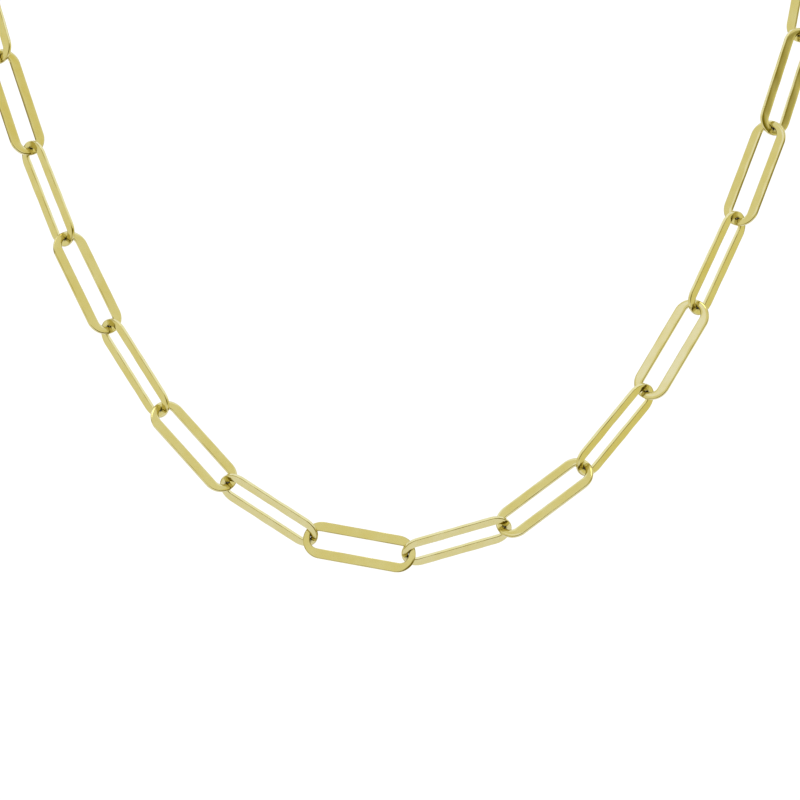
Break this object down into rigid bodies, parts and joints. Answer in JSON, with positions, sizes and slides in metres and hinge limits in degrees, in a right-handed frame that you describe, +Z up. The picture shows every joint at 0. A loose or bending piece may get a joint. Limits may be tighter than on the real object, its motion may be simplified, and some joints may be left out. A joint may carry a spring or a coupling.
{
  "type": "paperclip chain necklace",
  "caption": "Long flat-wire oval links joined into a necklace, hanging in a U at the front and closed with a clasp behind the neck.",
  "frame": {"origin": "centre of the neck's hollow, halfway between the front of the loop and the clasp, at the height of the clasp", "axes": "+X to the right seen from the front, +Y to the back of the neck, +Z up the neck; the necklace is posed as it hangs when worn"},
  "size_m": [0.1401, 0.0879, 0.1275],
  "materials": {
    "links": "polished",
    "fittings": "polished"
  },
  "bodies": {
    "root": {"link_01": "links", "link_02": "links", "link_03": "links", "link_04": "links", "link_05": "links", "link_06": "links", "link_07": "links", "link_08": "links", "link_09": "links", "link_10": "links", "link_11": "links", "link_12": "links", "link_13": "links", "link_14": "links", "link_15": "links", "link_16": "links", "link_17": "links", "link_18": "links", "link_19": "links", "link_20": "links", "link_21": "links", "link_22": "links", "link_23": "links", "link_24": "links", "link_25": "links", "link_26": "links", "link_27": "links", "link_28": "links", "ring_left": "fittings", "ring_right": "fittings", "clasp": "fittings"}
  },
  "joints": []
}
